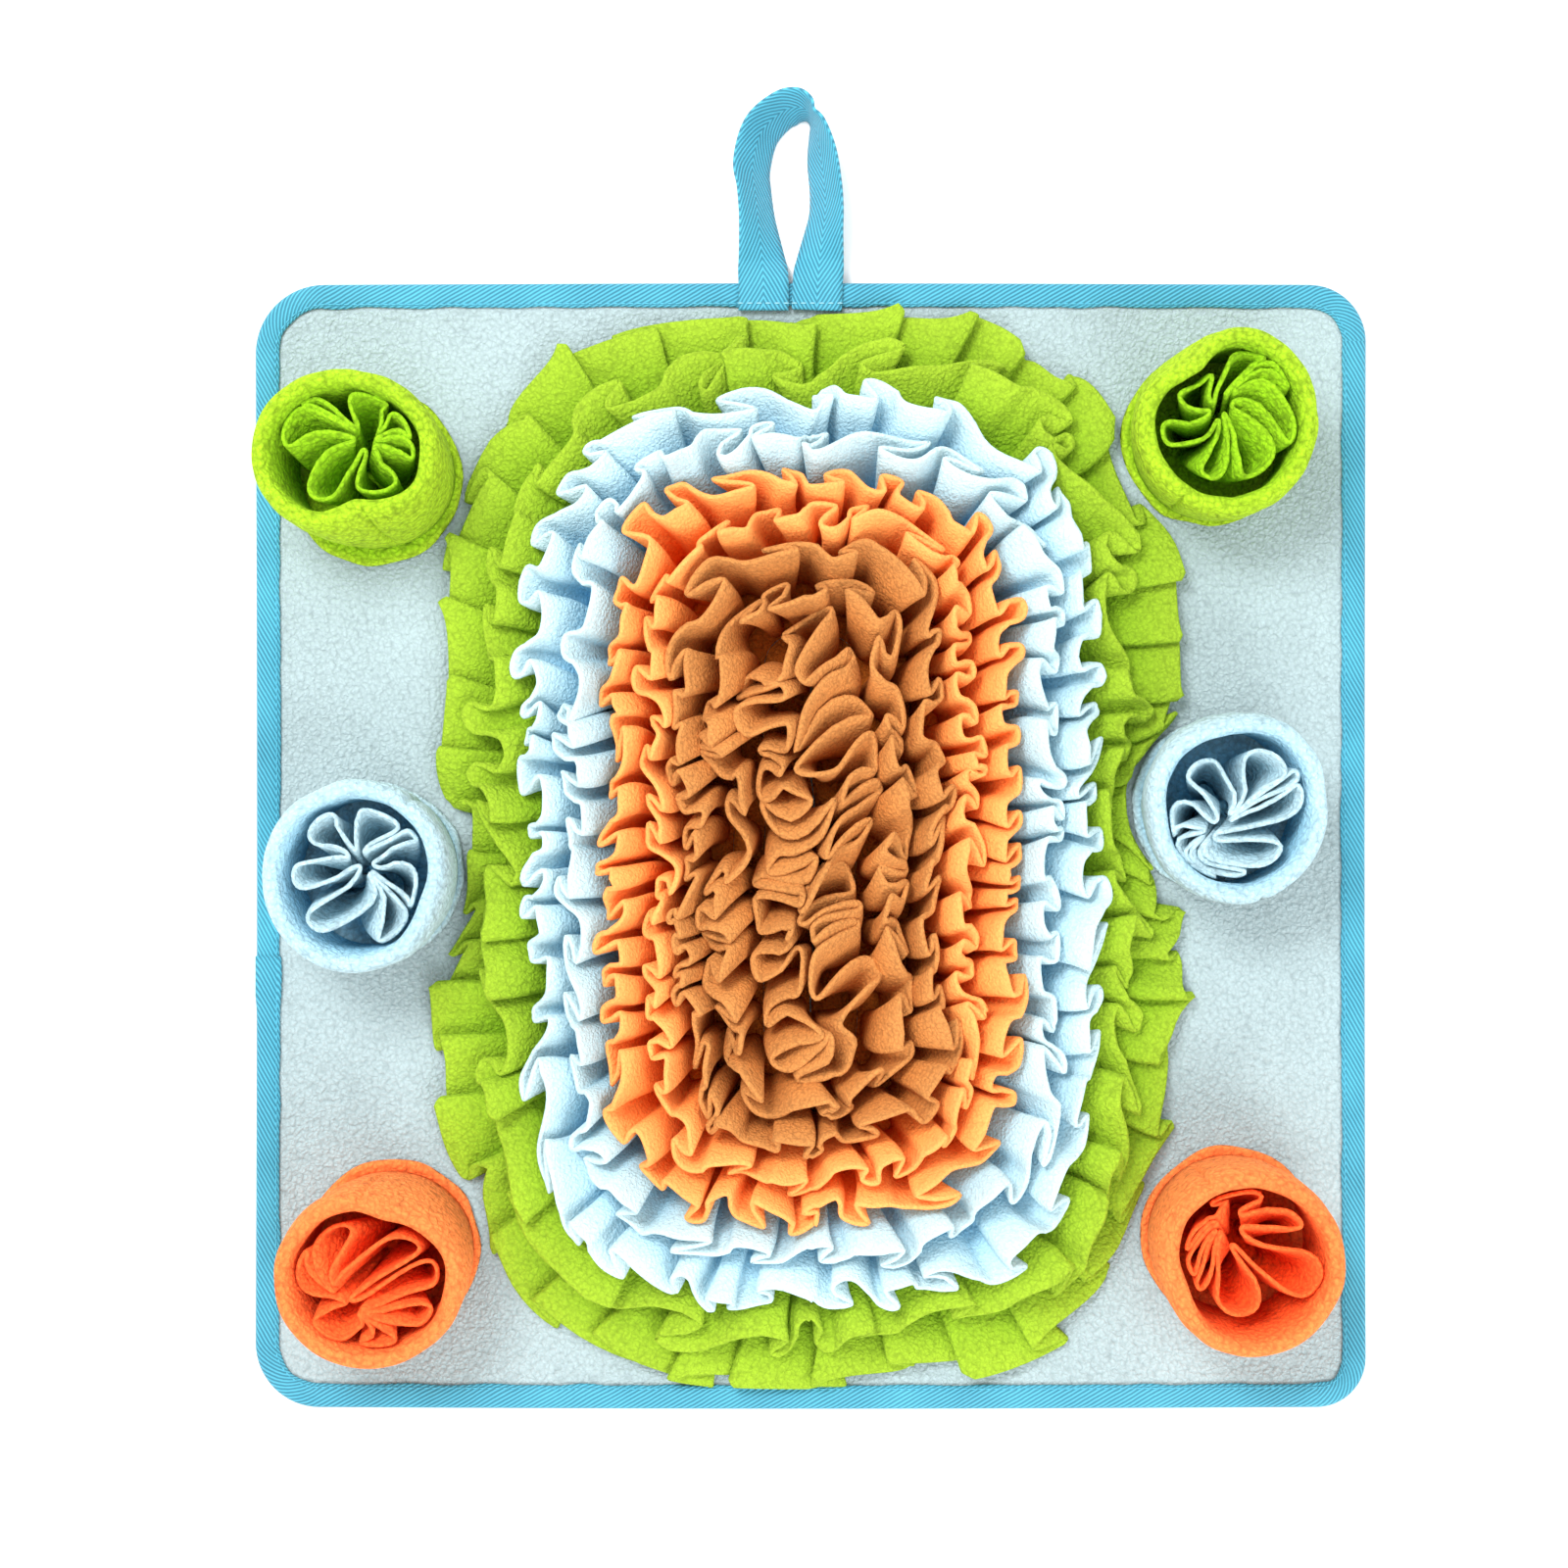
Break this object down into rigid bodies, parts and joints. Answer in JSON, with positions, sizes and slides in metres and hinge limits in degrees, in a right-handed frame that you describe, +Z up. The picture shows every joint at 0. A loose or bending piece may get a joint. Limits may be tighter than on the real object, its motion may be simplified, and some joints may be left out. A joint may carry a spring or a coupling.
{
  "type": "snuffle mat",
  "caption": "Square fleece feeding mat lying flat: bound pad with gathered fleece frills in an oval, treat cups along two edges and a tape hanging loop",
  "frame": {"origin": "centre of the pad's flat underside, on the surface the mat lies on", "axes": "+Z up out of the mat, +Y towards the edge that carries the hanging loop, +X to the right when the loop is at the far side"},
  "size_m": [0.45, 0.5368, 0.0477],
  "materials": {
    "pad_fleece": "short-pile fleece, pale blue",
    "tape": "twill tape, mid blue",
    "green_fleece": "short-pile fleece, lime green",
    "blue_fleece": "short-pile fleece, light blue",
    "orange_fleece": "short-pile fleece, orange",
    "brown_fleece": "short-pile fleece, light brown"
  },
  "bodies": {
    "root": {"pad": "pad_fleece", "binding": "tape", "loop": "tape", "frill_green_outer": "green_fleece", "frill_green_inner": "green_fleece", "frill_blue_outer": "blue_fleece", "frill_blue_inner": "blue_fleece", "frill_orange_outer": "orange_fleece", "frill_orange_inner": "orange_fleece", "frill_brown_outer": "brown_fleece", "frill_brown_middle": "brown_fleece", "frill_brown_heart": "brown_fleece", "cup_base_green_left": "green_fleece", "cup_base_blue_left": "blue_fleece", "cup_base_orange_left": "orange_fleece", "cup_base_green_right": "green_fleece", "cup_base_blue_right": "blue_fleece", "cup_base_orange_right": "orange_fleece", "cup_wall_green_left": "green_fleece", "cup_wall_blue_left": "blue_fleece", "cup_wall_orange_left": "orange_fleece", "cup_wall_green_right": "green_fleece", "cup_wall_blue_right": "blue_fleece", "cup_wall_orange_right": "orange_fleece", "cup_frill_green_left": "green_fleece", "cup_frill_blue_left": "blue_fleece", "cup_frill_orange_left": "orange_fleece", "cup_frill_green_right": "green_fleece", "cup_frill_blue_right": "blue_fleece", "cup_frill_orange_right": "orange_fleece"}
  },
  "joints": []
}
